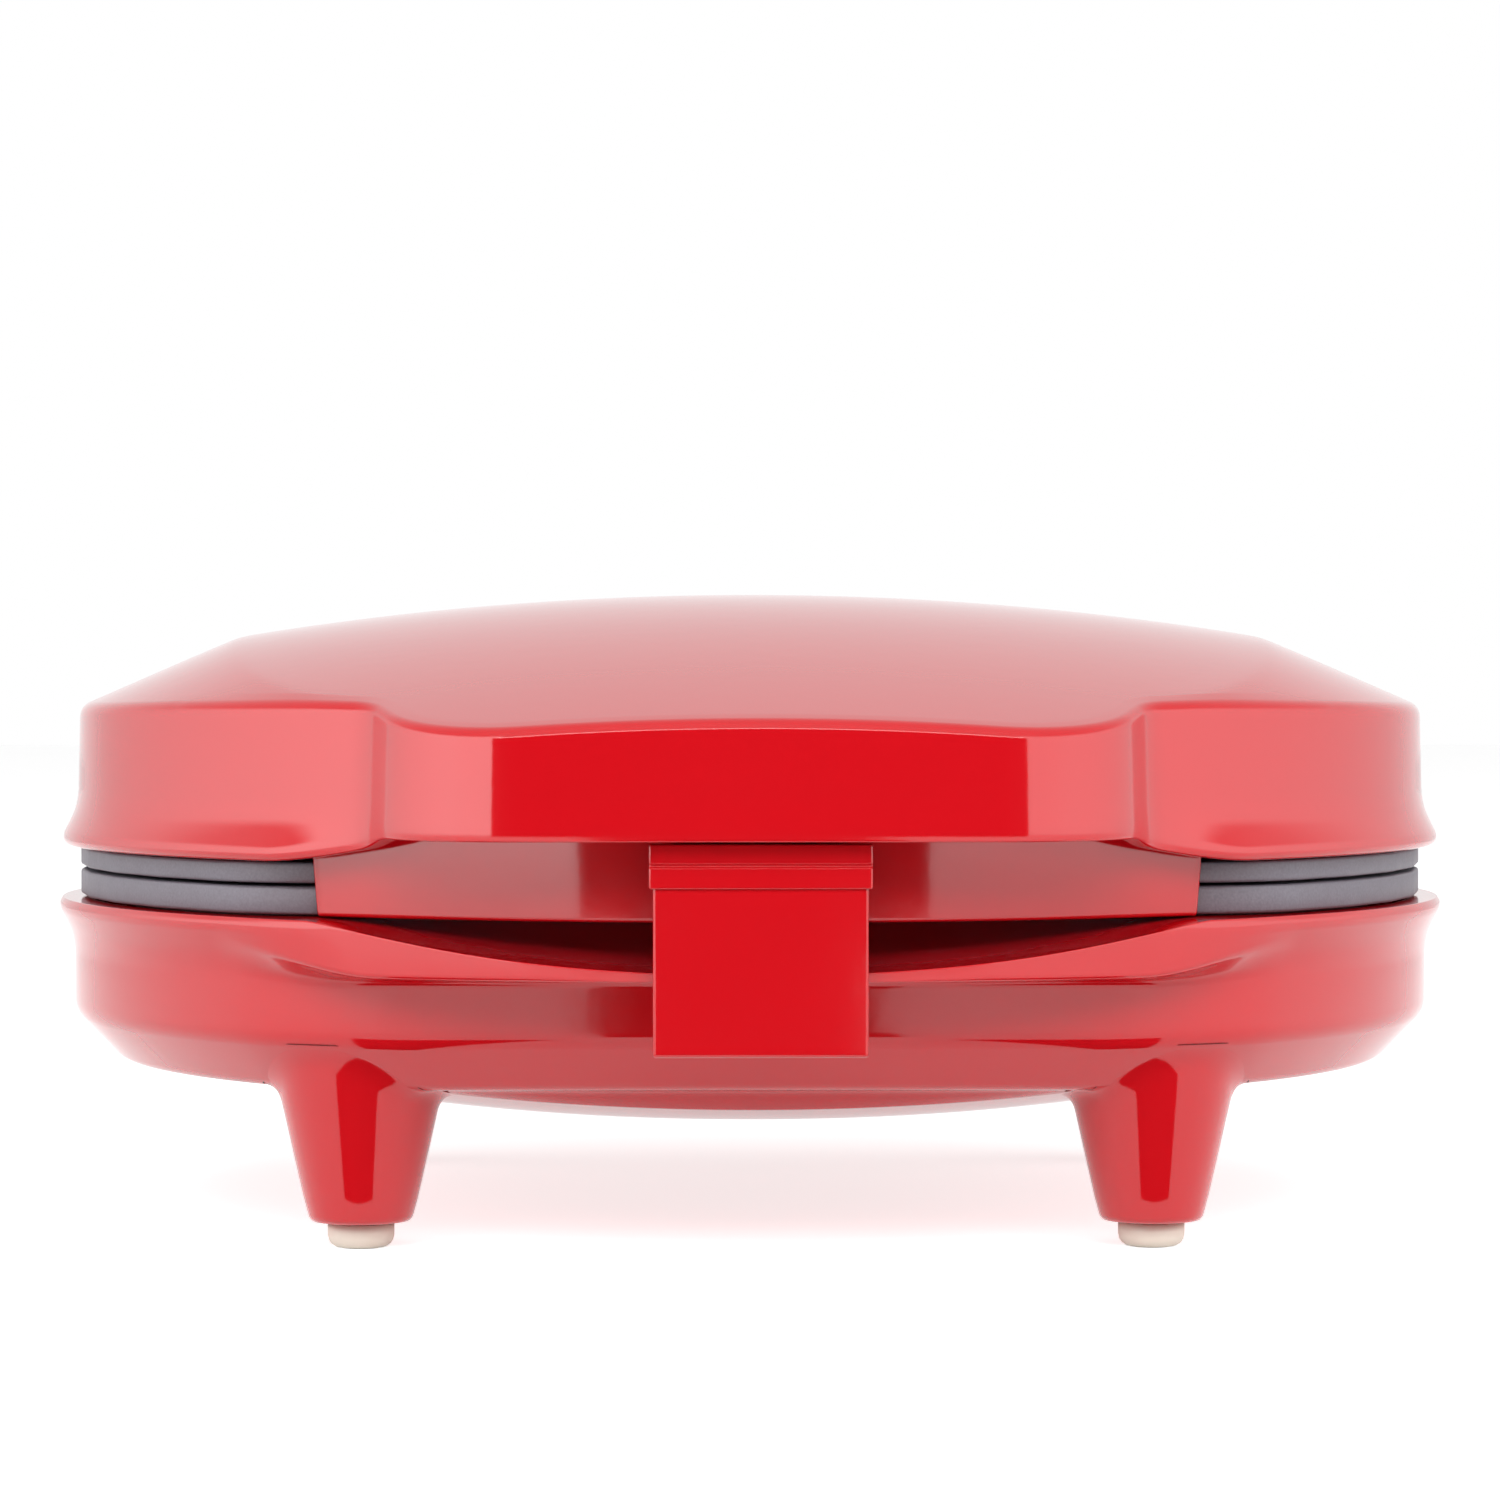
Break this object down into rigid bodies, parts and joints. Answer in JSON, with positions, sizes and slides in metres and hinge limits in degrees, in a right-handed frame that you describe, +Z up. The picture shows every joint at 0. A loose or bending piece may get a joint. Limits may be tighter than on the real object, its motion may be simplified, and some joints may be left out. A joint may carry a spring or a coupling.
{
  "type": "sandwich and waffle maker",
  "caption": "Round-bodied countertop sandwich and waffle maker: a rear-hinged lid and a base with waffle plates, a front handle with a hooked clip, and tapered legs.",
  "frame": {"origin": "on the table, under the middle of the closed machine's bounding box", "axes": "+Z up, -Y towards the handle and clip, +Y towards the hinge, +X to the right seen from the front"},
  "size_m": [0.2228, 0.2167, 0.0973],
  "materials": {
    "red_shell": "high gloss red",
    "coated_plate": "grey non-stick coating, satin",
    "foot_rubber": "ivory, matte",
    "steel": "plain",
    "bright_sheet": "mill",
    "pale_moulding": "matte",
    "dark_moulding": "matte"
  },
  "bodies": {
    "base": {"base_shell": "red_shell", "foot_pad_front_left": "foot_rubber", "foot_pad_front_right": "foot_rubber", "foot_pad_rear_left": "foot_rubber", "foot_pad_rear_right": "foot_rubber", "lower_plate": "coated_plate", "lower_element": "steel", "lower_shield": "bright_sheet", "lower_screw_left": "steel", "lower_screw_right": "steel", "hinge_pin_left": "steel", "hinge_pin_right": "steel", "terminal_block": "pale_moulding", "cord_bush": "dark_moulding"},
    "lid": {"lid_shell": "red_shell", "handle_liner": "red_shell", "upper_plate": "coated_plate", "upper_element": "steel", "upper_shield": "bright_sheet", "upper_screw_left": "steel", "upper_screw_right": "steel", "liner_screw_left": "steel", "liner_screw_right": "steel", "thermostat": "pale_moulding", "thermal_fuse": "pale_moulding", "clip_pin": "steel"},
    "clip": {"clip": "red_shell"}
  },
  "joints": [
    {"name": "lid_hinge", "type": "hinge", "parent": "base", "child": "lid", "pos_m": [0, 0.1028, 0.05405], "axis": [-1, 0, 0], "range_deg": [0, 100]},
    {"name": "clip_hinge", "type": "hinge", "parent": "lid", "child": "clip", "pos_m": [0, -0.1007, 0.0581], "axis": [-1, 0, 0], "range_deg": [0, 75]}
  ]
}
